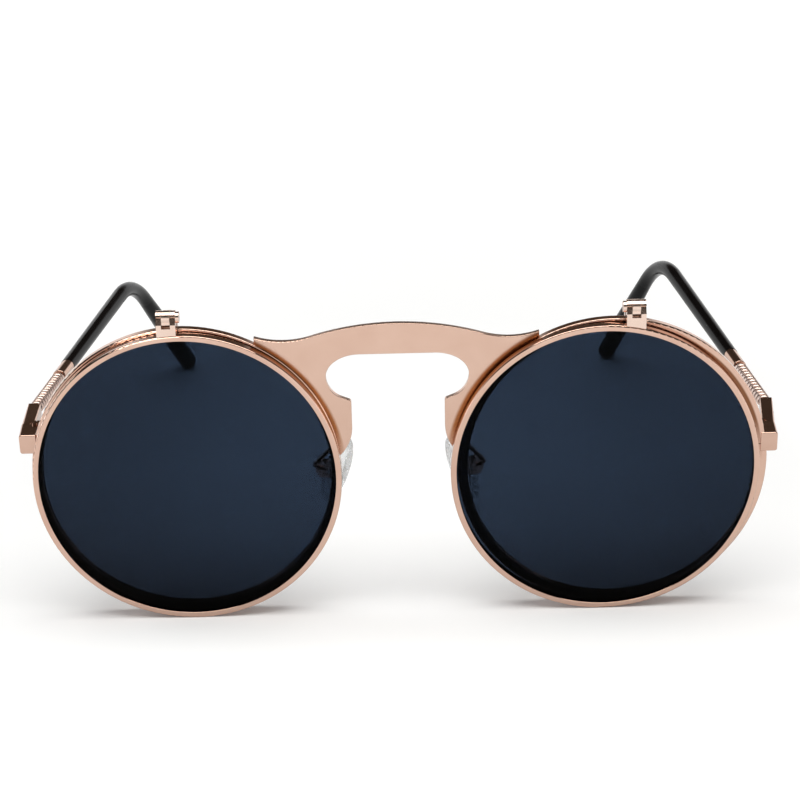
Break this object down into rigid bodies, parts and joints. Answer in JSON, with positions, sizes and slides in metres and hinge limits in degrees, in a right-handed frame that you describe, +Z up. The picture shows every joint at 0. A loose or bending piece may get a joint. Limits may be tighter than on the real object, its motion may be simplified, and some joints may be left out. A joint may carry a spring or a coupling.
{
  "type": "flip-up sunglasses",
  "caption": "Round metal sunglasses whose dark lenses flip up in front of clear ones, with a keyhole bridge plate, rocking nose pads and sprung temples that fold.",
  "frame": {"origin": "on the table under the middle of the part: midway between the outer sides of the two temple blocks, and midway between the front faces of the flip rims and the rear of the temple tips", "axes": "+X to the right seen from the front, +Y from the front to the temple tips, +Z up; temples open, dark lenses down"},
  "size_m": [0.1402, 0.1326, 0.0602],
  "materials": {
    "rose_gold": "polished rose-gold plating over a copper alloy",
    "steel": "plain bright steel wire and screws",
    "smoke_lens": "dark smoke lens plastic, polished",
    "clear_lens": "clear lens plastic, polished",
    "black_sleeve": "glossy black plastic sleeve",
    "pad_silicone": "clear soft silicone"
  },
  "bodies": {
    "frame_front": {"bridge_plate": "rose_gold", "fixed_rim_left": "rose_gold", "clear_lens_left": "clear_lens", "endpiece_left": "rose_gold", "closing_block_left": "rose_gold", "rim_lock_screw_left": "steel", "pad_arm_left": "rose_gold", "pad_box_left": "rose_gold", "pad_screw_left": "steel", "flip_base_left": "rose_gold", "temple_hinge_screw_left": "rose_gold", "fixed_rim_right": "rose_gold", "clear_lens_right": "clear_lens", "endpiece_right": "rose_gold", "closing_block_right": "rose_gold", "rim_lock_screw_right": "steel", "pad_arm_right": "rose_gold", "pad_box_right": "rose_gold", "pad_screw_right": "steel", "flip_base_right": "rose_gold", "temple_hinge_screw_right": "rose_gold"},
    "flip_left": {"flip_rim_left": "rose_gold", "flip_lens_left": "smoke_lens", "flip_bracket_left": "rose_gold", "flip_hinge_screw_left": "rose_gold"},
    "temple_left": {"temple_block_left": "rose_gold", "temple_core_left": "steel", "temple_spring_left": "rose_gold", "temple_ferrule_left": "rose_gold", "temple_sleeve_left": "black_sleeve"},
    "pad_left": {"nose_pad_left": "pad_silicone"},
    "flip_right": {"flip_rim_right": "rose_gold", "flip_lens_right": "smoke_lens", "flip_bracket_right": "rose_gold", "flip_hinge_screw_right": "rose_gold"},
    "temple_right": {"temple_block_right": "rose_gold", "temple_core_right": "steel", "temple_spring_right": "rose_gold", "temple_ferrule_right": "rose_gold", "temple_sleeve_right": "black_sleeve"},
    "pad_right": {"nose_pad_right": "pad_silicone"}
  },
  "joints": [
    {"name": "flip_left_hinge", "type": "hinge", "parent": "frame_front", "child": "flip_left", "pos_m": [-0.0408, -0.06477, 0.0589], "axis": [-1, 0, 0], "range_deg": [0, 90]},
    {"name": "flip_right_hinge", "type": "hinge", "parent": "frame_front", "child": "flip_right", "pos_m": [0.0417, -0.06477, 0.0589], "axis": [-1, 0, 0], "range_deg": [0, 90]},
    {"name": "temple_left_hinge", "type": "hinge", "parent": "frame_front", "child": "temple_left", "pos_m": [-0.06675, -0.05857, 0.0349], "axis": [0, 0, -1], "range_deg": [0, 82]},
    {"name": "temple_right_hinge", "type": "hinge", "parent": "frame_front", "child": "temple_right", "pos_m": [0.06585, -0.05857, 0.032], "axis": [0, 0, 1], "range_deg": [0, 74]},
    {"name": "nose_pad_left_rock", "type": "hinge", "parent": "frame_front", "child": "pad_left", "pos_m": [-0.01402, -0.05677, 0.0257], "axis": [-0.3918, 0.9063, 0.1583], "range_deg": [-8, 8]},
    {"name": "nose_pad_right_rock", "type": "hinge", "parent": "frame_front", "child": "pad_right", "pos_m": [0.01313, -0.05677, 0.0257], "axis": [0.3918, 0.9063, 0.1583], "range_deg": [-8, 8]}
  ]
}
